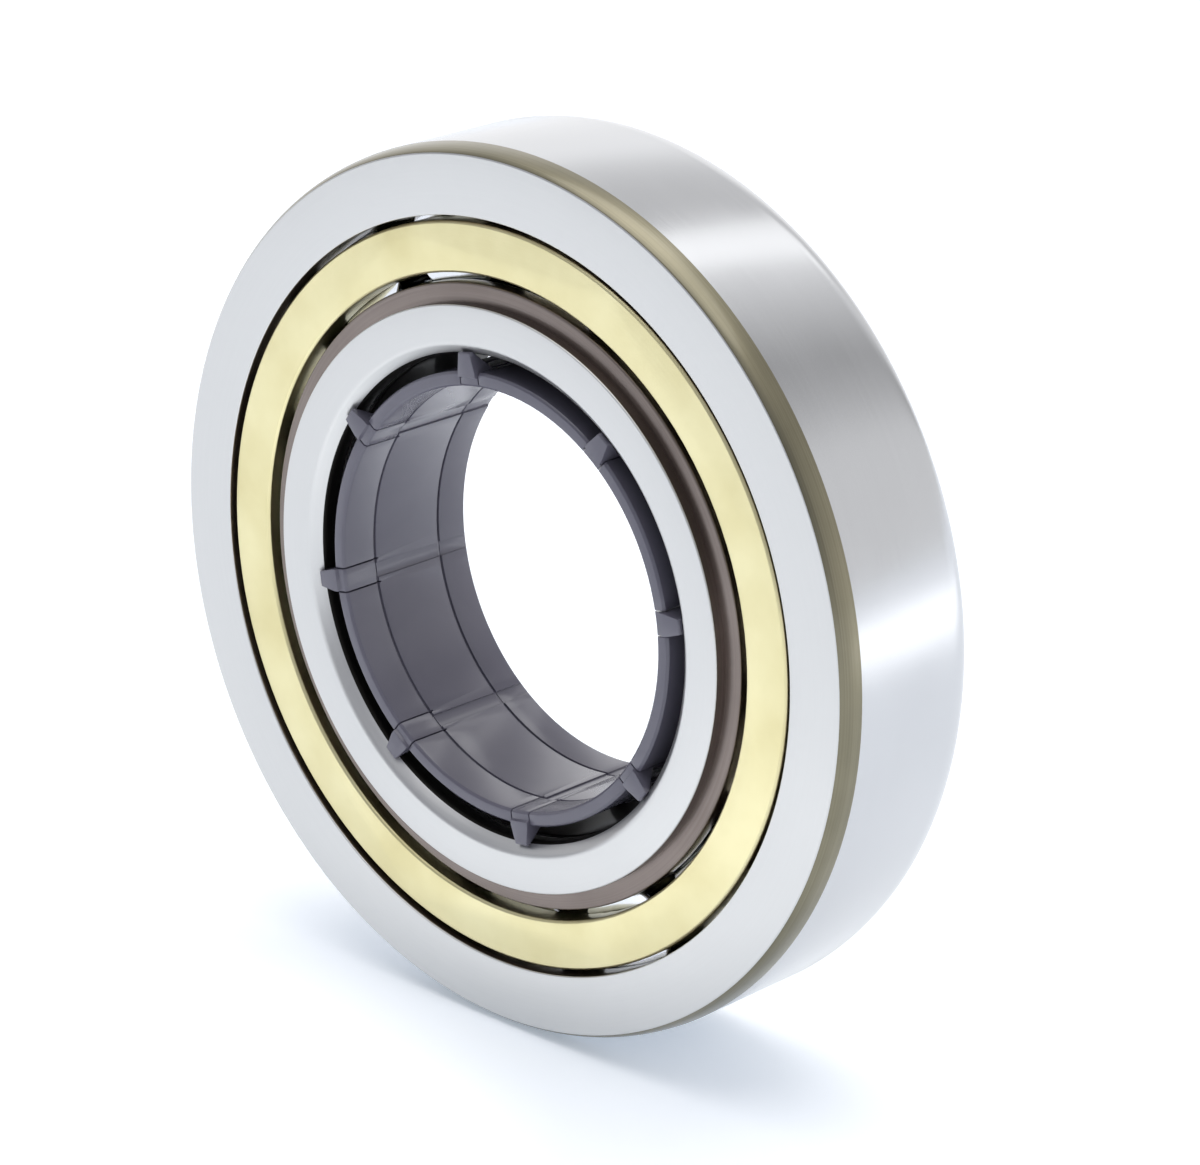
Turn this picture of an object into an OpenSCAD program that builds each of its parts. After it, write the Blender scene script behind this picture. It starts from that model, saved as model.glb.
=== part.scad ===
// Cylindrical roller bearing with ribs on both rings, one of them a loose side ring.
// It has a two-piece cage turned from solid brass, and the plastic sleeve that holds the loose rib in
// place until the bearing is fitted on its shaft.
// The bearing's axis lies along Y and +Z is up. The front, the side of the loose rib, faces -Y.
// The origin is on the axis, at the middle of the outer ring's width.

/* [Rings] */
// Shaft diameter, the bore of both inner pieces
bore_d = 60; // [45:1:80]
// Width of each ring
ring_w = 22; // [20:0.5:32]
// Wall of the inner ring under its raceway
inner_wall = 6; // [4.5:0.5:10]
// Radial distance between the two raceways
race_gap = 14; // [12:0.5:17]
// Wall of the outer ring over its raceway
outer_wall = 5; // [4:0.5:12]
// Height of the outer ring's two ribs over its raceway
outer_rib_h = 3.3; // [2:0.1:3.6]
// Height of the inner ribs over the raceway
inner_rib_h = 2.6; // [2:0.1:3.2]
// Outer corner, measured along the face
corner_face = 1.0; // [0.5:0.1:1.8]
// Outer corner, measured along the outside diameter
corner_side = 2.9; // [1:0.1:4]
// Corner of the bore, the same both ways
bore_corner = 1.5; // [0.5:0.1:2]
// Width of the ground boss on an inner piece's end face, beyond the bore corner
boss_w = 4.7; // [3:0.1:5.5]
// Step from the ground boss down to the band around it
boss_step = 1.5; // [0.3:0.1:1.8]
// Gap that the loose rib stands off its seat on the inner ring until a nut closes it
rib_slack = 0.65; // [0.1:0.05:0.8]

/* [Rollers] */
// Number of rollers
roller_n = 15; // [10:1:16]
// Length of the raceway, for one roller
race_l = 15; // [12:0.5:18]
// Angle of the first roller from +X, seen from the front
roller_phase = 7.4; // [0:0.1:24]
// Corner radius at a roller's ends
roller_corner = 0.6; // [0.2:0.1:1]
// Radial play between a roller and each raceway
roller_play = 0.02; // [0.01:0.01:0.05]
// End play between a roller and each rib
end_play = 0.03; // [0.01:0.01:0.1]

/* [Cage] */
// Radial gap from the outer ring's ribs to the cage
cage_outer_gap = 0.7; // [0.3:0.1:1]
// Radial gap from the inner ribs to the cage
cage_inner_gap = 1.2; // [0.8:0.1:2.5]
// Depth of the cage's two faces behind the outer ring's faces
cage_inset = 0.3; // [0.2:0.1:1]
// Radial clearance around a roller in its pocket
pocket_gap = 0.15; // [0.1:0.05:0.25]
// Clearance between a roller's end and the pocket's end
pocket_end_gap = 0.15; // [0.1:0.05:0.4]
// Brass left between the riveting stub on a cage bar's end and the pocket beside it
rivet_wall = 0.58; // [0.3:0.01:1]
// How far the peened head reaches beyond the stub
rivet_lip = 0.7; // [0.4:0.1:1]
// Height of the peened head over the cover
rivet_head_h = 0.2; // [0.1:0.05:0.25]

/* [Sleeve] */
// Radial gap between the sleeve and the bore
sleeve_gap = 2; // [1:0.1:3]
// Wall of the sleeve
sleeve_wall = 1.8; // [1.5:0.1:3]
// Depth of the sleeve's front rim behind the face of the loose rib
sleeve_inset = 0.8; // [0.4:0.1:1.2]
// Number of hooks on the sleeve
hook_n = 8; // [4:1:12]
// Angle of the first hook from +X, seen from the front
hook_phase = 8.5; // [0:0.5:45]
// Depth of the hooks' front behind the face of the loose rib
hook_inset = 0.4; // [0.2:0.1:0.6]
// Width of a hook's tongue
hook_w = 2.8; // [2:0.1:5]
// Width of a hook at its tip
hook_tip_w = 1.8; // [1:0.1:4]
// Reach of a hook's tip beyond the bore
hook_reach = 0.4; // [0.2:0.1:0.7]
// Width of the slit on each side of a tongue
slit_w = 0.2; // [0.2:0.1:1]
// Distance of the front groove from the front rim
front_groove_l = 5.5; // [4:0.1:8]
// Distance of the rear groove from the rear rim
rear_groove_l = 5; // [3:0.1:8]
// Width of the two grooves around the sleeve's inner wall
groove_w = 0.4; // [0.3:0.1:1.5]
// Depth of the grooves
groove_depth = 0.3; // [0.1:0.05:0.6]
// Width of the shallow flute down the inner wall behind each hook
flute_w = 1.8; // [1:0.1:2.6]
// Depth of the flutes
flute_depth = 0.2; // [0.2:0.1:1]
// Radial clearance of the centring pads in the bore
pad_gap = 0.05; // [0.03:0.01:0.2]
// Length of the centring pads
pad_l = 4; // [2:0.5:6]

/* [Hidden] */
$fn = 180;
// small edge breaks
edge = 0.3;
land_edge = 0.2;
// grinding undercut where a raceway meets a rib
relief_w = 0.9;
relief_depth = 0.3;
// how far the outer corner bulges past a straight chamfer: 0 is straight, 1 is fully rounded
corner_round = 0.6;
corner_steps = 6;
hook_gap = 0.1;
cut = 1;

face_z = ring_w / 2;
bore_r = bore_d / 2;
inner_race_r = bore_r + inner_wall;
pitch_r = inner_race_r + race_gap / 2;
outer_race_r = inner_race_r + race_gap;
outer_r = outer_race_r + outer_wall;
outer_rib_r = outer_race_r - outer_rib_h;
inner_rib_r = inner_race_r + inner_rib_h;
boss_r = bore_r + bore_corner + boss_w;

rib_seat_z = race_l / 2;
rib_back_z = rib_seat_z + rib_slack;
rib_face_z = face_z + rib_slack;

roller_r = race_gap / 2 - roller_play;
roller_l = race_l - 2 * end_play;
roller_step = 360 / roller_n;

cage_outer_r = outer_rib_r - cage_outer_gap;
cage_inner_r = inner_rib_r + cage_inner_gap;
cage_face_z = face_z - cage_inset;
pocket_r = roller_r + pocket_gap;
pocket_z = roller_l / 2 + pocket_end_gap;
rivet_place_r = (cage_inner_r + cage_outer_r) / 2;
// from the middle of a bar to the middle of the pocket beside it
bar_to_pocket = sqrt(
    pow(rivet_place_r, 2) + pow(pitch_r, 2) - 2 * rivet_place_r * pitch_r * cos(roller_step / 2)
);
// the stub leaves its wall to the pocket, and its head stays on the cover between the edge breaks
rivet_r = min(
    bar_to_pocket - pocket_r - rivet_wall,
    (cage_outer_r - cage_inner_r) / 2 - rivet_lip - edge
);
rivet_head_r = rivet_r + rivet_lip;

sleeve_r = bore_r - sleeve_gap;
sleeve_inner_r = sleeve_r - sleeve_wall;
sleeve_front_z = rib_face_z - sleeve_inset;
sleeve_back_z = -face_z + sleeve_inset;
front_groove_z = sleeve_front_z - front_groove_l;
slit_end_z = front_groove_z - edge;
flute_end_z = front_groove_z + groove_w / 2;
rear_groove_z = sleeve_back_z + rear_groove_l;
hook_tip_r = bore_r + hook_reach;
hook_front_z = rib_face_z - hook_inset;

function roller_name(i) = str("roller_", i < 10 ? "0" : "", i);

// a point on the curve that leaves a for b and bends towards the corner c
function corner_point(a, b, c, t) = let (m = (a + b) / 2 + (c - (a + b) / 2) * corner_round)
    (1 - t) * (1 - t) * a + 2 * t * (1 - t) * m + t * t * b;

// the outer ring's corner from the end face to the outside diameter; side is 1 at the front, -1 at the back
function outer_corner(side) = [
    for (i = [0:corner_steps])
        corner_point(
            [outer_r - corner_face, side * face_z],
            [outer_r, side * (face_z - corner_side)],
            [outer_r, side * face_z],
            (side > 0 ? i : corner_steps - i) / corner_steps
        )
];

// turns the bearing's axis, drawn along Z with the front up, to lie along Y with the front towards -Y
module lay_axis_along_y() {
    rotate([90, 0, 0]) children();
}

// copies of a thing that stands on +X, spread around the axis
module around(count, phase) {
    for (i = [0:count - 1])
        rotate([0, 0, phase + i * 360 / count]) children();
}

module outer_ring_profile() {
    race_z = race_l / 2;
    polygon(concat(
        [[outer_rib_r + land_edge, face_z]],
        outer_corner(1),
        outer_corner(-1),
        [
            [outer_rib_r + land_edge, -face_z],
            [outer_rib_r, -face_z + land_edge],
            [outer_rib_r, -race_z - edge],
            [outer_rib_r + edge, -race_z],
            [outer_race_r + relief_depth, -race_z],
            [outer_race_r + relief_depth, -race_z + relief_w],
            [outer_race_r, -race_z + relief_w + relief_depth],
            [outer_race_r, race_z - relief_w - relief_depth],
            [outer_race_r + relief_depth, race_z - relief_w],
            [outer_race_r + relief_depth, race_z],
            [outer_rib_r + edge, race_z],
            [outer_rib_r, race_z + edge],
            [outer_rib_r, face_z - land_edge]
        ]
    ));
}

module outer_ring() {
    color("gainsboro")
        lay_axis_along_y()
            rotate_extrude() outer_ring_profile();
}

// the inner ring carries the raceway and the rear rib
module inner_ring_profile() {
    race_z = race_l / 2;
    band_z = face_z - boss_step;
    polygon([
        [bore_r, -face_z + bore_corner],
        [bore_r + bore_corner, -face_z],
        [boss_r, -face_z],
        [boss_r, -band_z],
        [inner_rib_r - edge, -band_z],
        [inner_rib_r, -band_z + edge],
        [inner_rib_r, -race_z - edge],
        [inner_rib_r - edge, -race_z],
        [inner_race_r - relief_depth, -race_z],
        [inner_race_r - relief_depth, -race_z + relief_w],
        [inner_race_r, -race_z + relief_w + relief_depth],
        [inner_race_r, rib_seat_z - edge],
        [inner_race_r - edge, rib_seat_z],
        [bore_r + edge, rib_seat_z],
        [bore_r, rib_seat_z - edge]
    ]);
}

module inner_ring() {
    color("gainsboro")
        lay_axis_along_y()
            rotate_extrude() inner_ring_profile();
}

// the loose rib guides the rollers at the front, and stands off its seat by rib_slack
module loose_rib_profile() {
    band_z = rib_face_z - boss_step;
    polygon([
        [bore_r + edge, rib_back_z],
        [inner_rib_r - edge, rib_back_z],
        [inner_rib_r, rib_back_z + edge],
        [inner_rib_r, band_z - edge],
        [inner_rib_r - edge, band_z],
        [boss_r, band_z],
        [boss_r, rib_face_z],
        [bore_r + bore_corner, rib_face_z],
        [bore_r, rib_face_z - bore_corner],
        [bore_r, rib_back_z + edge]
    ]);
}

module loose_rib() {
    color("silver")
        lay_axis_along_y()
            rotate_extrude() loose_rib_profile();
}

module cage_ring_profile(low_z, high_z) {
    polygon([
        [cage_inner_r, low_z],
        [cage_outer_r, low_z],
        [cage_outer_r, high_z - edge],
        [cage_outer_r - edge, high_z],
        [cage_inner_r + edge, high_z],
        [cage_inner_r, high_z - edge]
    ]);
}

// a stub on the end of each bar, upset into the cover's countersink as a low head
module rivet_stub() {
    rotate_extrude()
        polygon([
            [0, -pocket_z + edge],
            [0, -cage_face_z - rivet_head_h],
            [rivet_head_r - rivet_head_h, -cage_face_z - rivet_head_h],
            [rivet_head_r, -cage_face_z],
            [rivet_r, -cage_face_z + rivet_lip],
            [rivet_r, -pocket_z + edge]
        ]);
}

// a comb: the front ring and the bars, with pockets that are open at the back until the cover is on
module cage_body() {
    color("khaki")
        lay_axis_along_y() {
            difference() {
                rotate_extrude() cage_ring_profile(-pocket_z, cage_face_z);
                around(roller_n, roller_phase)
                    translate([pitch_r, 0, -pocket_z - cut])
                        cylinder(h = 2 * pocket_z + cut, r = pocket_r);
            }
            around(roller_n, roller_phase + roller_step / 2)
                translate([rivet_place_r, 0, 0]) rivet_stub();
        }
}

module cage_cover() {
    color("khaki")
        lay_axis_along_y()
            difference() {
                mirror([0, 0, 1])
                    rotate_extrude() cage_ring_profile(pocket_z, cage_face_z);
                around(roller_n, roller_phase + roller_step / 2)
                    translate([rivet_place_r, 0, 0])
                        rotate_extrude()
                            polygon([
                                [0, -pocket_z + cut],
                                [0, -cage_face_z - cut],
                                [rivet_head_r, -cage_face_z - cut],
                                [rivet_head_r, -cage_face_z],
                                [rivet_r, -cage_face_z + rivet_lip],
                                [rivet_r, -pocket_z + cut]
                            ]);
            }
}

module roller_profile() {
    half = roller_l / 2;
    arc = [for (a = [0:15:90]) roller_corner * [cos(a), sin(a)]];
    polygon(concat(
        [[0, -half]],
        [for (i = [6:-1:0]) [roller_r - roller_corner + arc[i][0], -half + roller_corner - arc[i][1]]],
        [for (p = arc) [roller_r - roller_corner + p[0], half - roller_corner + p[1]]],
        [[0, half]]
    ));
}

module roller(i) {
    color("whitesmoke")
        lay_axis_along_y()
            rotate([0, 0, roller_phase + (i - 1) * roller_step])
                translate([pitch_r, 0, 0])
                    rotate_extrude() roller_profile();
}

// the sleeve's plain wall, with its two inner grooves
module sleeve_wall_profile() {
    polygon([
        [sleeve_inner_r + edge, sleeve_front_z],
        [sleeve_r - edge, sleeve_front_z],
        [sleeve_r, sleeve_front_z - edge],
        [sleeve_r, sleeve_back_z + edge],
        [sleeve_r - edge, sleeve_back_z],
        [sleeve_inner_r + edge, sleeve_back_z],
        [sleeve_inner_r, sleeve_back_z + edge],
        [sleeve_inner_r, rear_groove_z - groove_w],
        [sleeve_inner_r + groove_depth, rear_groove_z - groove_w],
        [sleeve_inner_r + groove_depth, rear_groove_z],
        [sleeve_inner_r, rear_groove_z],
        [sleeve_inner_r, front_groove_z],
        [sleeve_inner_r + groove_depth, front_groove_z],
        [sleeve_inner_r + groove_depth, front_groove_z + groove_w],
        [sleeve_inner_r, front_groove_z + groove_w],
        [sleeve_inner_r, sleeve_front_z - edge]
    ]);
}

// a radial section, drawn as radius and height, given a thickness to both sides of the X axis
module radial_slab(thickness) {
    rotate([90, 0, 0]) linear_extrude(height = thickness, center = true) children();
}

// section of a hook: its underside follows the corner of the loose rib's bore
module hook_profile() {
    root_r = sleeve_r - sleeve_wall / 2;
    seat_z = rib_face_z - bore_corner + hook_reach + hook_gap;
    polygon([
        [root_r, sleeve_front_z - edge],
        [root_r + edge, hook_front_z],
        [hook_tip_r - edge / 2, hook_front_z],
        [hook_tip_r, hook_front_z - edge / 2],
        [hook_tip_r, seat_z],
        [root_r, seat_z - (hook_tip_r - root_r)]
    ]);
}

// plan of a hook, narrow at its tip
module hook_plan() {
    polygon([
        [0, -hook_w / 2],
        [sleeve_r, -hook_w / 2],
        [hook_tip_r, -hook_tip_w / 2],
        [hook_tip_r + cut, -hook_tip_w / 2],
        [hook_tip_r + cut, hook_tip_w / 2],
        [hook_tip_r, hook_tip_w / 2],
        [sleeve_r, hook_w / 2],
        [0, hook_w / 2]
    ]);
}

module hook() {
    intersection() {
        radial_slab(2 * hook_w) hook_profile();
        linear_extrude(height = ring_w) hook_plan();
    }
}

// a pad that centres the sleeve's rear end in the inner ring's bore; its top is flat
module pad() {
    top_r = sqrt(pow(bore_r - pad_gap, 2) - pow(hook_w / 2, 2));
    root_r = sleeve_r - sleeve_wall / 2;
    low_z = sleeve_back_z + 2 * edge;
    high_z = low_z + pad_l;
    radial_slab(hook_w)
        polygon([
            [root_r, low_z],
            [top_r - edge, low_z],
            [top_r, low_z + edge],
            [top_r, high_z - edge],
            [top_r - edge, high_z],
            [root_r, high_z]
        ]);
}

// the two slits that free a hook's tongue
module slits() {
    for (side = [-1, 1])
        translate([sleeve_inner_r - cut, side * (hook_w + slit_w) / 2 - slit_w / 2, slit_end_z])
            cube([sleeve_wall + 2 * cut, slit_w, sleeve_front_z - slit_end_z + cut]);
}

// a shallow flute down the inner wall behind a hook
module flute() {
    translate([sleeve_inner_r - cut, -flute_w / 2, sleeve_back_z - cut])
        cube([cut + flute_depth, flute_w, flute_end_z - sleeve_back_z + cut]);
}

module retaining_sleeve() {
    color("dimgray")
        lay_axis_along_y() {
            difference() {
                rotate_extrude() sleeve_wall_profile();
                around(hook_n, hook_phase) {
                    slits();
                    flute();
                }
            }
            around(hook_n, hook_phase) {
                hook();
                pad();
            }
        }
}

outer_ring();
inner_ring();
loose_rib();
cage_body();
cage_cover();
for (i = [1:roller_n])
    roller(i);
retaining_sleeve();
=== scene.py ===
# %% [markdown]
# # A cylindrical roller bearing, piece by piece
# This lesson dresses a bearing whose exact shapes and joints come from a CAD model.
# The bearing's axis lies along Y, its front faces -Y, +Z is up, and lengths are metres.
# A bearing is nearly all turned work, so the tool used most is the spin: half of a section is drawn
# once and swung round the axis, just as a lathe makes the real ring.

# %% Load the fixed frame
import math

import bmesh
import bpy
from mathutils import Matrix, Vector


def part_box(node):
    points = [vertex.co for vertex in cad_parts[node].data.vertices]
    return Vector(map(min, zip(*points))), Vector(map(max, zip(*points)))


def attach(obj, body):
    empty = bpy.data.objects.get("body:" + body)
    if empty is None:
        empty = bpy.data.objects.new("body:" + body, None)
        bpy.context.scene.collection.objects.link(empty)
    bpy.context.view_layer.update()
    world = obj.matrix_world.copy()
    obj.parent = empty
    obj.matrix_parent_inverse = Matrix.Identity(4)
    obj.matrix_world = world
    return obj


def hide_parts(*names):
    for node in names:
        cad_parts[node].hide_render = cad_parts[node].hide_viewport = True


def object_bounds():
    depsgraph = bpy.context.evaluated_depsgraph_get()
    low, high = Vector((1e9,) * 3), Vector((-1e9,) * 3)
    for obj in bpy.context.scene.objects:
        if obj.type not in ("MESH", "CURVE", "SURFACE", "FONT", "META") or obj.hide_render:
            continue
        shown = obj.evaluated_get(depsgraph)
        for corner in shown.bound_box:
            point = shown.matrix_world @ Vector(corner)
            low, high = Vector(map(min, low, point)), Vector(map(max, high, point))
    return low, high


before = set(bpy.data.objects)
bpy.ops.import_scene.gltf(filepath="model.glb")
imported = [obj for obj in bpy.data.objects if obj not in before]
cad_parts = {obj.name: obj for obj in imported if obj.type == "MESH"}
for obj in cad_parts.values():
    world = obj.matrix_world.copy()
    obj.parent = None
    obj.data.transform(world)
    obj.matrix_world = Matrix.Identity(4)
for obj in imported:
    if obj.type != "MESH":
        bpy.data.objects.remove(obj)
cad_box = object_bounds()
print("CAD box:", [[round(v, 5) for v in corner] for corner in cad_box])

# %% [markdown]
# ## The camera
# A long lens far away keeps the two faces of the bearing nearly parallel, as in a catalogue picture.
# The camera's place is given as a turn around the bearing, a height angle and a distance. It is
# aimed with a quaternion that points its -Z axis at a spot a little right of the bearing's centre.

# %% Place and aim the camera
OUTER_R = (cad_box[1][2] - cad_box[0][2]) / 2
FRONT_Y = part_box("outer_ring")[0][1]
turn, height = math.radians(44.95), math.radians(20.15)
away = 9.95 * OUTER_R
eye = Vector((math.sin(turn) * math.cos(height), -math.cos(turn) * math.cos(height), math.sin(height)))
eye = eye * away + Vector((0, FRONT_Y, 0))
aim = Vector((0.316 * OUTER_R, FRONT_Y, 0.123 * OUTER_R))

camera = bpy.data.objects.new("camera", bpy.data.cameras.new("camera"))
bpy.context.scene.collection.objects.link(camera)
camera.location = eye
camera.rotation_mode = "QUATERNION"
camera.rotation_quaternion = (aim - eye).to_track_quat("-Z", "Y")
camera.data.lens = 138
camera.data.sensor_width = 36
bpy.context.scene.camera = camera
print(f"camera {away * 1000:.0f} mm from the front face, lens {camera.data.lens:.0f} mm")

# %% [markdown]
# ## Small tools for the whole lesson
# Blender's operators act on whatever is selected, so one helper leaves a single piece selected, and
# another picks corners or faces by a test on their place. Drawings of bearings are in millimetres, so
# `mm` turns them to metres. A paint chart's hex colours are sRGB, and shaders want linear light.

# %% Helpers for lengths, colours and selection
def mm(value):
    return value / 1000


def colour(hex_code):
    parts = [int(hex_code[i:i + 2], 16) / 255 for i in (0, 2, 4)]
    return [c / 12.92 if c <= 0.04045 else ((c + 0.055) / 1.055) ** 2.4 for c in parts] + [1.0]


def only(piece):
    if bpy.context.object and bpy.context.object.mode != "OBJECT":
        bpy.ops.object.mode_set(mode="OBJECT")
    bpy.ops.object.select_all(action="DESELECT")
    piece.select_set(True)
    bpy.context.view_layer.objects.active = piece


def pick_corners(piece, test):
    """In edit mode, select just the vertices whose radius and depth in mm pass the test."""
    bpy.ops.mesh.select_mode(type="VERT")
    bpy.ops.mesh.select_all(action="DESELECT")
    mesh = bmesh.from_edit_mesh(piece.data)
    for v in mesh.verts:
        v.select_set(test(math.hypot(v.co.x, v.co.z) * 1000, v.co.y * 1000))
    mesh.select_flush_mode()
    bmesh.update_edit_mesh(piece.data)
    return sum(v.select for v in mesh.verts)


print("steel grey in linear light:", [round(c, 3) for c in colour("C4C7CB")])

# %% [markdown]
# ## How a ring is turned
# A section is drawn as a loop of corners: a plane is added, its four corners are merged into one, and
# that single point is extruded from corner to corner. Sharp corners are then rounded with a bevel on
# vertices, which is the small radius that every real turned edge has. Last, the loop is spun through a
# full circle about Y. Places are (radius, depth) in mm, and depth runs from the front to the back.

# %% Draw a section and spin it
STEPS = 240


def turned(name, outline, rounded=(), steps=STEPS, closed=True):
    bpy.ops.object.select_all(action="DESELECT")
    bpy.ops.mesh.primitive_plane_add(size=mm(1), location=(0, 0, 0))
    piece = bpy.context.object
    piece.name = piece.data.name = name
    bpy.ops.object.mode_set(mode="EDIT")
    bpy.ops.mesh.select_all(action="SELECT")
    bpy.ops.mesh.merge(type="CENTER")
    bpy.ops.transform.translate(value=(mm(outline[0][0]), mm(outline[0][1]), 0))
    stops = list(outline) + ([outline[0]] if closed else [])
    for (r0, y0), (r1, y1) in zip(stops, stops[1:]):
        bpy.ops.mesh.extrude_vertices_move(TRANSFORM_OT_translate={"value": (mm(r1 - r0), mm(y1 - y0), 0)})
    bpy.ops.mesh.select_all(action="SELECT")
    bpy.ops.mesh.remove_doubles(threshold=mm(0.001))
    for radius, places in rounded:
        pick_corners(piece, lambda r, y: any(math.hypot(r - a, y - b) < 0.01 for a, b in places))
        bpy.ops.mesh.bevel(offset_type="OFFSET", offset=mm(radius), segments=4, affect="VERTICES")
    bpy.ops.mesh.select_all(action="SELECT")
    bpy.ops.mesh.spin(steps=steps, angle=math.tau, center=(0, 0, 0), axis=(0, 1, 0))
    bpy.ops.mesh.select_all(action="SELECT")
    bpy.ops.mesh.remove_doubles(threshold=mm(0.001))
    bpy.ops.mesh.normals_make_consistent(inside=False)
    bpy.ops.object.mode_set(mode="OBJECT")
    bpy.ops.object.shade_smooth_by_angle(angle=math.radians(25))
    return piece


def size_of(piece):
    low = [min(v.co[i] for v in piece.data.vertices) * 1000 for i in range(3)]
    high = [max(v.co[i] for v in piece.data.vertices) * 1000 for i in range(3)]
    return " x ".join(f"{b - a:.2f}" for a, b in zip(low, high)) + " mm"


print("turning helper ready,", STEPS, "steps a turn")

# %% [markdown]
# ## How a material is built
# Every material below starts from what the real one is and how its surface was made. Turned and
# ground metal carries fine lines that follow the tool round the axis, so the patterns need to know
# a point's radius, its depth along the axis and its direction round it. These come from Object
# coordinates, which stay with the piece when it moves. One helper adds any node with its links.

# %% Add a node, find a place on turned work, draw tool lines
def add(tree, kind, links=None, **settings):
    node = tree.nodes.new("ShaderNode" + kind)
    for name, value in settings.items():
        setattr(node, name, value)
    for socket, source in (links or {}).items():
        if isinstance(source, bpy.types.NodeSocket):
            tree.links.new(source, node.inputs[socket])
        else:
            node.inputs[socket].default_value = source
    return node


def turned_place(tree):
    place = add(tree, "TexCoord").outputs["Object"]
    depth = add(tree, "SeparateXYZ", {0: place}).outputs["Y"]
    flat = add(tree, "VectorMath", {0: place, 1: (1, 0, 1)}, operation="MULTIPLY").outputs[0]
    radius = add(tree, "VectorMath", {0: flat}, operation="LENGTH").outputs["Value"]
    around = add(tree, "VectorMath", {0: flat}, operation="NORMALIZE").outputs[0]
    return place, radius, depth, around


def tool_lines(tree, across, around, spacing, runs):
    """Noise that changes every `spacing` mm across the lines, and `runs` times per radian along them."""
    count = add(tree, "Math", {0: across, 1: 1000 / spacing}, operation="MULTIPLY").outputs[0]
    offset = add(tree, "CombineXYZ", {"Y": count}).outputs[0]
    where = add(tree, "VectorMath", {0: around, 1: (runs,) * 3, 2: offset}, operation="MULTIPLY_ADD")
    return add(tree, "TexNoise", {"Vector": where.outputs[0], "Scale": 1.0, "Detail": 2.0}).outputs["Fac"]


def start(name):
    material = bpy.data.materials.new(name)
    material.use_nodes = True
    return material, material.node_tree, material.node_tree.nodes["Principled BSDF"]


print("helpers: add, turned_place, tool_lines, start")

# %% [markdown]
# ## Bearing steel, ground and polished
# The rings and rollers are through-hardened chrome steel. A grinding wheel finishes every surface
# that touches something: the end faces, the outside diameter, the bore and the raceways. Grinding
# leaves lines of a few hundredths of a millimetre, too fine to see at this size, so they are drawn at
# 0.2 to 0.3 mm. They bend the light just enough to stretch a reflection across the lines, which is
# what tells the eye that the metal is ground and not chromed. The colour is plain steel's.

# %% Ground steel in its finishes
def ground_steel(name, hex_code, roughness, lines_on, spacing, depth_of_lines):
    material, tree, shader = start(name)
    place, radius, depth, around = turned_place(tree)
    across = radius if lines_on == "face" else depth
    lines = tool_lines(tree, across, around, spacing, 3.0)
    haze = add(tree, "TexNoise", {"Vector": place, "Scale": 60.0, "Detail": 3.0}).outputs["Fac"]
    both = add(tree, "Math", {0: lines, 1: 0.5, 2: haze}, operation="MULTIPLY_ADD").outputs[0]
    rough = add(tree, "MapRange", {"Value": both, "From Min": 0.4, "From Max": 1.1,
                                   "To Min": roughness * 0.8, "To Max": roughness * 1.25}).outputs[0]
    tone = add(tree, "MapRange", {"Value": both, "From Min": 0.4, "From Max": 1.1,
                                  "To Min": 0.96, "To Max": 1.03}).outputs[0]
    base = add(tree, "VectorMath", {0: colour(hex_code)[:3], "Scale": tone}, operation="SCALE").outputs[0]
    bump = add(tree, "Bump", {"Height": lines, "Strength": 1.0, "Distance": mm(depth_of_lines)}).outputs[0]
    for socket, source in {"Base Color": base, "Roughness": rough, "Normal": bump}.items():
        tree.links.new(source, shader.inputs[socket])
    shader.inputs["Metallic"].default_value = 1.0
    return material


FACE_STEEL = ground_steel("bearing_steel_face_ground", "CBCBCA", 0.34, "face", 0.3, 0.006)
RIM_STEEL = ground_steel("bearing_steel_centreless_ground", "BFC0C2", 0.20, "rim", 0.25, 0.003)
RACE_STEEL = ground_steel("bearing_steel_superfinished", "CFD1D4", 0.08, "rim", 0.2, 0.0006)
ROLLER_STEEL = ground_steel("roller_steel_end_ground", "DADCDF", 0.12, "face", 0.2, 0.001)
print("steels:", FACE_STEEL.name, RIM_STEEL.name, RACE_STEEL.name, ROLLER_STEEL.name)

# %% [markdown]
# ## Steel left as turned and hardened
# The outer corners, the sunk band on the side ring and the insides of the ribs are never ground.
# They keep their lathe grooves and the brown skin from the hardening furnace, wet with preserving
# oil. The grooves are about 0.2 mm apart. The skin is a dark, warm metal with a clear coat for oil.
# It is purplish on the side ring and olive on the outer corner. The same recipe, nearly black, is
# painted shade in the bore, for the deep, narrow gap between the bore and the sleeve.

# %% Oiled furnace skin, and painted shade for the bore
def oiled_skin_and_painted_shade(name, hex_dark, hex_light, roughness=0.36, oil=0.5):
    material, tree, shader = start(name)
    place, radius, depth, around = turned_place(tree)
    across = add(tree, "Math", {0: radius, 1: depth}, operation="ADD").outputs[0]
    lines = tool_lines(tree, across, around, 0.22, 1.5)
    cloud = add(tree, "TexNoise", {"Vector": place, "Scale": 45.0, "Detail": 4.0}).outputs["Fac"]
    mixed = add(tree, "Math", {0: lines, 1: 0.45, 2: cloud}, operation="MULTIPLY_ADD").outputs[0]
    amount = add(tree, "MapRange", {"Value": mixed, "From Min": 0.45, "From Max": 1.0}).outputs[0]
    base = add(tree, "MixRGB", {"Fac": amount, "Color1": colour(hex_dark), "Color2": colour(hex_light)})
    bump = add(tree, "Bump", {"Height": lines, "Strength": 1.0, "Distance": mm(0.012)}).outputs[0]
    for socket, source in {"Base Color": base.outputs[0], "Normal": bump}.items():
        tree.links.new(source, shader.inputs[socket])
    shader.inputs["Metallic"].default_value = 1.0
    shader.inputs["Roughness"].default_value = roughness
    shader.inputs["Coat Weight"].default_value = oil
    shader.inputs["Coat Roughness"].default_value = 0.12
    return material


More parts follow.
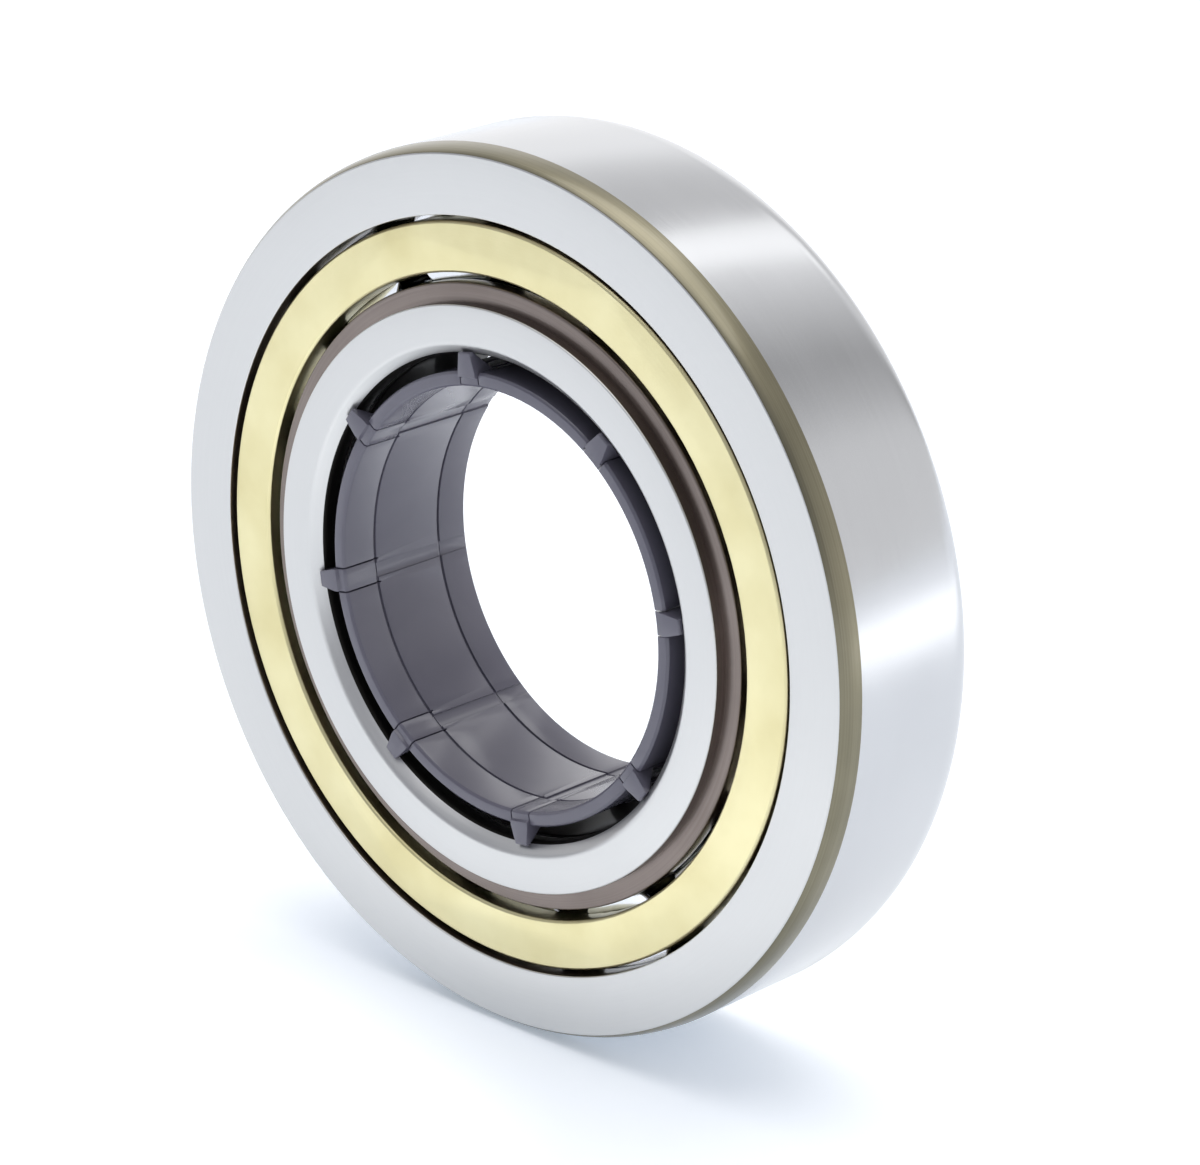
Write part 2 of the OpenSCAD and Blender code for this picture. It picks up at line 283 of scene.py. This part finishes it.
SKIN = oiled_skin_and_painted_shade("hardened_skin_oiled", "695E58", "867B75")
CORNER_SKIN = oiled_skin_and_painted_shade("hardened_corner_oiled", "66624F", "87816C")
# Painted shade: the bore is coloured nearly black, for the dark gap between it and the sleeve.
BORE_PAINTED_SHADE = oiled_skin_and_painted_shade("bore_painted_shade", "1E1C1A", "2B2926", roughness=0.6, oil=0.1)
print("skins:", SKIN.name, CORNER_SKIN.name, BORE_PAINTED_SHADE.name)

# %% [markdown]
# ## Turned brass
# The cage is machined from a brass casting, so it is a pale, slightly green yellow and never gold.
# Its faces show a lathe feed of 0.1 to 0.2 mm. Brass dulls in soft clouds where it was handled, and
# that shows as a small change of colour and gloss over ten millimetres or so.

# %% Brass for both halves of the cage
def turned_brass(name, hex_clean, hex_dull):
    material, tree, shader = start(name)
    place, radius, depth, around = turned_place(tree)
    across = add(tree, "Math", {0: radius, 1: depth}, operation="ADD").outputs[0]
    lines = tool_lines(tree, across, around, 0.25, 2.0)
    cloud = add(tree, "TexNoise", {"Vector": place, "Scale": 90.0, "Detail": 4.0}).outputs["Fac"]
    dull = add(tree, "MapRange", {"Value": cloud, "From Min": 0.35, "From Max": 0.75}).outputs[0]
    base = add(tree, "MixRGB", {"Fac": dull, "Color1": colour(hex_clean), "Color2": colour(hex_dull)})
    rough = add(tree, "MapRange", {"Value": dull, "To Min": 0.28, "To Max": 0.4}).outputs[0]
    bump = add(tree, "Bump", {"Height": lines, "Strength": 1.0, "Distance": mm(0.008)}).outputs[0]
    for socket, source in {"Base Color": base.outputs[0], "Roughness": rough, "Normal": bump}.items():
        tree.links.new(source, shader.inputs[socket])
    shader.inputs["Metallic"].default_value = 1.0
    return material


BRASS = turned_brass("cast_brass_turned", "DFD7AC", "D5CB9B")
print("brass:", BRASS.name)

# %% [markdown]
# ## Moulded plastic
# The retaining sleeve is injection moulded, a dark grey plastic with a slightly violet cast. The
# mould was polished, so it is glossy, and a glossy plastic reflects the white studio most where it
# is seen at a slant. A faint waviness, a few millimetres long, comes from shrinkage in the mould.

# %% Plastic for the sleeve
def moulded_plastic(name, hex_code, hex_flow):
    material, tree, shader = start(name)
    place = add(tree, "TexCoord").outputs["Object"]
    flow = add(tree, "TexNoise", {"Vector": place, "Scale": 110.0, "Detail": 3.0, "Distortion": 0.6})
    grain = add(tree, "TexNoise", {"Vector": place, "Scale": 2500.0, "Detail": 2.0}).outputs["Fac"]
    base = add(tree, "MixRGB", {"Fac": flow.outputs["Fac"], "Color1": colour(hex_code),
                                "Color2": colour(hex_flow)})
    rough = add(tree, "MapRange", {"Value": flow.outputs["Fac"], "To Min": 0.14, "To Max": 0.24}).outputs[0]
    wave = add(tree, "Math", {0: grain, 1: 0.04, 2: flow.outputs["Fac"]}, operation="MULTIPLY_ADD")
    bump = add(tree, "Bump", {"Height": wave.outputs[0], "Strength": 1.0, "Distance": mm(0.03)}).outputs[0]
    for socket, source in {"Base Color": base.outputs[0], "Roughness": rough, "Normal": bump}.items():
        tree.links.new(source, shader.inputs[socket])
    shader.inputs["IOR"].default_value = 1.52
    return material


PLASTIC = moulded_plastic("moulded_plastic_glossy", "5B5965", "65636F")
print("plastic:", PLASTIC.name)

# %% [markdown]
# ## A way to hand out finishes
# One turned ring carries several finishes. Each face of the mesh is given the finish of the zone it
# lies in, by the radius and depth of its middle, as a grinder's drawing marks each surface.

# %% Give each zone its finish
def finish_zones(piece, default, *zones):
    """Each zone is a material and a test on a face's middle: its radius and depth in mm."""
    for material in [default] + [z[0] for z in zones]:
        piece.data.materials.append(material)
    for face in piece.data.polygons:
        r, y = math.hypot(face.center.x, face.center.z) * 1000, face.center.y * 1000
        face.material_index = next((i for i, z in enumerate(zones, 1) if z[1](r, y)), 0)
    count = [sum(f.material_index == i for f in piece.data.polygons) for i in range(len(zones) + 1)]
    print(piece.name, size_of(piece), "faces per finish:", count)


# %% [markdown]
# ## Sizes that the sections share
# A bearing drawing names each diameter once, and every section is drawn from those names. Whole
# widths come from the CAD frame, so they can't drift away from it. Everything here is in mm.

# %% Name the radii and depths
RIM = OUTER_R * 1000
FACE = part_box("outer_ring")[1][1] * 1000
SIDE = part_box("loose_rib")[0][1] * 1000
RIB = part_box("loose_rib")[1][0] * 1000
OUTER_RIB, OUTER_RACE, INNER_RACE, BOSS, BORE = 46.7, 50, 36, 36.2, 30
RACE_END = 7.5
UNDERCUT, UNDERCUT_W = 0.3, 0.9
BORE_CORNER = 1.5
BOSS_STEP = 1.5
SIDE_W = 3.5
EDGE, FINE_EDGE, SOFT_EDGE = 0.3, 0.2, 0.4
print(f"rim {RIM:.2f}, rib {RIB:.2f}, end face {FACE:.2f}, side ring's face {SIDE:.2f} mm")

# %% [markdown]
# ## The outer ring
# The outer ring has a raceway for the rollers and a rib on each side of it that guides them. Small
# undercuts in the raceway's corners let the grinding wheel run out. The outer corner is a long, soft
# curve that leads the ring into its housing. All of it is one section, spun.

# %% Turn the outer ring
CORNER_FACE, CORNER_SIDE = 1, 2.9


def lead_in(side, steps=7):
    """The outer corner from the end face to the rim, as a curve pulled towards the sharp corner."""
    a, b = Vector((RIM - CORNER_FACE, FACE)), Vector((RIM, FACE - CORNER_SIDE))
    m = Vector((RIM - CORNER_FACE / 5, FACE - CORNER_SIDE / 5))
    shares = [i / steps for i in range(steps + 1)]
    spots = [(1 - t) ** 2 * a + 2 * t * (1 - t) * m + t * t * b for t in shares]
    return [(p.x, side * p.y) for p in (spots if side < 0 else reversed(spots))]


outer = turned("outer_ring_turned",
               [(OUTER_RIB, -FACE)] + lead_in(-1) + lead_in(1)
               + [(OUTER_RIB, FACE), (OUTER_RIB, RACE_END), (OUTER_RACE + UNDERCUT, RACE_END),
                  (OUTER_RACE + UNDERCUT, RACE_END - UNDERCUT_W),
                  (OUTER_RACE, RACE_END - UNDERCUT_W - UNDERCUT),
                  (OUTER_RACE, UNDERCUT + UNDERCUT_W - RACE_END),
                  (OUTER_RACE + UNDERCUT, UNDERCUT_W - RACE_END),
                  (OUTER_RACE + UNDERCUT, -RACE_END), (OUTER_RIB, -RACE_END)],
               rounded=[(FINE_EDGE, [(OUTER_RIB, -FACE), (OUTER_RIB, FACE)]),
                        (EDGE, [(OUTER_RIB, RACE_END), (OUTER_RIB, -RACE_END)]),
                        (FINE_EDGE * 0.6, [(RIM - CORNER_FACE, -FACE), (RIM - CORNER_FACE, FACE)])])
finish_zones(outer, FACE_STEEL,
             (RIM_STEEL, lambda r, y: r > RIM - 0.9 and y > 2.8 - FACE),
             (CORNER_SKIN, lambda r, y: r > RIM - 0.9),
             (SKIN, lambda r, y: r < OUTER_RIB + 0.1 and RACE_END + EDGE < abs(y) < FACE - 0.15),
             (RACE_STEEL, lambda r, y: abs(r - OUTER_RACE) < 0.05))
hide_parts("outer_ring")
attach(outer, "outer")

# %% [markdown]
# ## The inner ring and its side ring
# The inner ring keeps one rib at the back. The front rib is a separate, loose ring, so the bearing
# can be put together, and it is clamped when the shaft nut is tightened. Both end faces have a
# ground boss next to the bore, and the band outside the boss is sunk and left brown.

# %% Turn the inner ring and the side ring
inner = turned("inner_ring_turned",
               [(BORE, FACE - BORE_CORNER), (BORE + BORE_CORNER, FACE), (BOSS, FACE),
                (BOSS, FACE - BOSS_STEP), (RIB, FACE - BOSS_STEP), (RIB, RACE_END),
                (INNER_RACE - UNDERCUT, RACE_END), (INNER_RACE - UNDERCUT, RACE_END - UNDERCUT_W),
                (INNER_RACE, RACE_END - UNDERCUT_W - UNDERCUT), (INNER_RACE, -RACE_END),
                (BORE, -RACE_END)],
               rounded=[(SOFT_EDGE, [(BORE, FACE - BORE_CORNER), (BORE + BORE_CORNER, FACE)]),
                        (FINE_EDGE, [(BOSS, FACE)]),
                        (EDGE, [(RIB, FACE - BOSS_STEP), (RIB, RACE_END), (INNER_RACE, -RACE_END),
                                (BORE, -RACE_END)])])
finish_zones(inner, FACE_STEEL,
             (RACE_STEEL, lambda r, y: abs(r - INNER_RACE) < 0.05 and y < 6.4),
             # the bore takes the painted shade
             (BORE_PAINTED_SHADE, lambda r, y: r < BORE + SOFT_EDGE),
             (SKIN, lambda r, y: r > BOSS - 0.1 and y > 7.9 and not (r < BOSS + 0.25 and y > FACE - 0.2)))
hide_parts("inner_ring")
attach(inner, "inner")

side_ring = turned("side_ring_turned",
                   [(BORE, SIDE + SIDE_W), (RIB, SIDE + SIDE_W), (RIB, SIDE + BOSS_STEP),
                    (BOSS, SIDE + BOSS_STEP), (BOSS, SIDE), (BORE + BORE_CORNER, SIDE),
                    (BORE, SIDE + BORE_CORNER)],
                   rounded=[(EDGE, [(BORE, SIDE + SIDE_W), (RIB, SIDE + SIDE_W), (RIB, SIDE + BOSS_STEP)]),
                            (FINE_EDGE, [(BOSS, SIDE)]),
                            (SOFT_EDGE, [(BORE + BORE_CORNER, SIDE), (BORE, SIDE + BORE_CORNER)])])
finish_zones(side_ring, FACE_STEEL,
             # the bore takes the painted shade
             (BORE_PAINTED_SHADE, lambda r, y: r < BORE + SOFT_EDGE),
             (SKIN, lambda r, y: r > BOSS - 0.1 and SIDE + 0.2 < y < SIDE + SIDE_W - EDGE))
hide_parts("loose_rib")
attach(side_ring, "rib")

# %% [markdown]
# ## The rollers
# Fifteen rollers share the load. A real roller is a little barrel shaped, by a few thousandths of a
# millimetre, has rounded corners, and its ends are ground flat around a shallow recess. One is
# turned about its own axis with the section left open at the axis, then copied to each pocket.

# %% Turn one roller, then copy it into the pockets
ROLLER_R, END = 6.98, 7.47
RECESS_R, RECESS = 3.2, 0.25
first = turned("roller_turned_01",
               [(0, RECESS - END), (RECESS_R - 0.3, RECESS - END), (RECESS_R, -END), (ROLLER_R, -END),
                (ROLLER_R, END), (RECESS_R, END), (RECESS_R - 0.3, END - RECESS), (0, END - RECESS)],
               rounded=[(0.6, [(ROLLER_R, -END), (ROLLER_R, END)]),
                        (0.1, [(RECESS_R, -END), (RECESS_R, END)])],
               steps=64, closed=False)
finish_zones(first, ROLLER_STEEL, (RACE_STEEL, lambda r, y: r > ROLLER_R - 0.08))
homes = {name: [sum(pair) / 2 for pair in zip(*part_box(name))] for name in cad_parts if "roller" in name}
rollers = []
for number in range(1, len(homes) + 1):
    only(first)
    bpy.ops.object.duplicate(linked=False)
    copy = bpy.context.object
    copy.name = copy.data.name = f"roller_{number:02d}_turned"
    home = homes[f"roller_{number:02d}"]
    bpy.ops.transform.translate(value=(home[0], 0, home[2]))
    bpy.ops.object.transform_apply(location=True, rotation=True, scale=True)
    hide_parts(f"roller_{number:02d}")
    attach(copy, f"roller_{number:02d}")
    rollers.append(copy)
bpy.data.objects.remove(first)
print(len(rollers), "rollers,", len(rollers[0].data.polygons), "faces each")

# %% [markdown]
# ## The cage and the sleeve
# The cage keeps the rollers apart, and a plastic sleeve with springy hooks holds the loose side ring
# until the bearing goes on its shaft. Their CAD shapes are right, but a CAD edge is perfectly sharp,
# and no real edge is. A copy of each is merged into one skin, its flat areas are joined, and a bevel
# of a tenth of a millimetre or so breaks every edge. It is this thin bevel that catches the light.

# %% Soften copies of the cage and the sleeve
def softened(node_name, name, body, material, width):
    only(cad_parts[node_name])
    bpy.ops.object.duplicate(linked=False)
    piece = bpy.context.object
    piece.name = piece.data.name = name
    bpy.ops.object.mode_set(mode="EDIT")
    bpy.ops.mesh.select_all(action="SELECT")
    bpy.ops.mesh.remove_doubles(threshold=mm(0.002))
    bpy.ops.mesh.dissolve_limited(angle_limit=math.radians(0.5))
    bpy.ops.object.mode_set(mode="OBJECT")
    bevel = piece.modifiers.new("edge_break", "BEVEL")
    bevel.width, bevel.segments, bevel.limit_method = mm(width), 2, "ANGLE"
    bevel.angle_limit = math.radians(30)
    bpy.ops.object.modifier_apply(modifier=bevel.name)
    bpy.ops.object.shade_smooth_by_angle(angle=math.radians(35))
    piece.data.materials.clear()
    piece.data.materials.append(material)
    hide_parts(node_name)
    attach(piece, body)
    print(name, size_of(piece), len(piece.data.polygons), "faces")


softened("cage_body", "cage_body_turned", "cage", BRASS, 0.12)
softened("cage_cover", "cage_cover_turned", "cage", BRASS, 0.12)
softened("retaining_sleeve", "retaining_sleeve_moulded", "sleeve", PLASTIC, 0.08)

# %% [markdown]
# ## The studio floor
# Polished metal looks like whatever is around it, so the studio matters as much as the metal. The
# floor is a light table: matt white acrylic lit from below, which leaves only a faint cool shadow.
# An emission of about a third, added to a pale base, gives that look without any lamp under it.

# %% Lay the floor
only(outer)
bpy.ops.object.select_all(action="DESELECT")
bpy.ops.mesh.primitive_plane_add(size=40, location=(0, 0, -OUTER_R))
floor = bpy.context.object
floor.name = "floor"
table, tree, shader = start("opal_acrylic_backlit")
shader.inputs["Base Color"].default_value = colour("EFEFEF")
shader.inputs["Roughness"].default_value = 0.9
shader.inputs["Specular IOR Level"].default_value = 0.1
shader.inputs["Emission Color"].default_value = colour("D9E8FA")
shader.inputs["Emission Strength"].default_value = 0.36
floor.data.materials.append(table)
print("floor at", round(-OUTER_R * 1000, 1), "mm")

# %% [markdown]
# ## The sky
# A bare metal cylinder mirrors a stripe of the room along its whole length, so the room is painted
# as stripes: soft panels and gaps that run along the bearing's axis, with a bright panel overhead
# and one to the left, and quieter grey between. Each stop is an angle above the right-hand horizon
# and a brightness. In front, towards the eye, it is darker, as it is behind a photographer. The eye
# itself sees plain white.

# %% Paint the sky as panels
world = bpy.data.worlds.new("studio")
bpy.context.scene.world = world
world.use_nodes = True
tree = world.node_tree
toward = add(tree, "SeparateXYZ", {0: add(tree, "TexCoord").outputs["Generated"]})
tilt = add(tree, "Math", {0: toward.outputs["Z"], 1: toward.outputs["X"]}, operation="ARCTAN2").outputs[0]
share = add(tree, "MapRange", {"Value": tilt, "From Min": 0.0, "From Max": math.pi}).outputs[0]
panels = add(tree, "ValToRGB", {"Fac": share})
PANELS = [(0, 1.02), (35, 1.02), (45, 0.75), (58, 0.54), (70, 0.8), (83, 1.1), (93, 1.15), (103, 0.9),
          (113, 0.82), (124, 0.9), (134, 1.1), (143, 1.42), (153, 1.3), (180, 1.3)]
ramp = panels.color_ramp
while len(ramp.elements) < len(PANELS):
    ramp.elements.new(0.5)
for stop, (angle, level) in zip(ramp.elements, PANELS):
    stop.position = angle / 180
for stop, (angle, level) in zip(ramp.elements, PANELS):
    stop.color = (level, level, level * 1.01, 1)
front = add(tree, "MapRange", {"Value": toward.outputs["Y"], "From Min": 0.25, "From Max": -0.4,
                               "To Min": 0.0, "To Max": 1.0}).outputs[0]
sky = add(tree, "MixRGB", {"Fac": front, "Color1": panels.outputs[0], "Color2": (0.45, 0.46, 0.5, 1)})
seen = add(tree, "LightPath").outputs["Is Camera Ray"]
backdrop = add(tree, "MixRGB", {"Fac": seen, "Color1": sky.outputs[0], "Color2": (1, 1, 1, 1)})
tree.links.new(backdrop.outputs[0], tree.nodes["Background"].inputs["Color"])
tree.nodes["Background"].inputs["Strength"].default_value = 1.0
print("sky panels:", len(PANELS))

# %% [markdown]
# ## The lamps
# A narrow softbox behind the bearing draws the bright streak on its rim, and a wide soft ceiling
# puts the shadow under it. Two spots light pools on the floor. The floor is already white to the
# eye, so they show only as reflections in the rim and in the end faces.

# %% Hang the lamps
def hang(name, kind, place, watts, aim):
    lamp = bpy.data.objects.new(name, bpy.data.lights.new(name, kind))
    bpy.context.scene.collection.objects.link(lamp)
    lamp.location = place
    lamp.data.energy = watts
    lamp.rotation_mode = "QUATERNION"
    lamp.rotation_quaternion = (Vector(aim) - lamp.location).to_track_quat("-Z", "Y")
    return lamp


softbox = hang("softbox_behind", "AREA", (-0.05, 0.75, 0.85), 0.4, (0, 0, 0))
softbox.data.shape = "RECTANGLE"
softbox.data.size, softbox.data.size_y = 0.2, 0.8
ceiling = hang("soft_ceiling", "SUN", (0, 0, 2), 1.3, (0, 0, 0))
ceiling.data.angle = math.radians(60)
POOL_HEIGHT = 1.6
for name, place, watts, reach in (("pool_behind_right", (0.35, 0.30), 150, 0.24),
                                  ("pool_in_front", (-0.015, -0.07), 35, 0.06)):
    pool = hang(name, "SPOT", (*place, POOL_HEIGHT), watts, (*place, 0))
    pool.data.spot_size, pool.data.spot_blend = 2 * math.atan(reach / POOL_HEIGHT), 0.9
bpy.context.scene.view_settings.view_transform = "Standard"
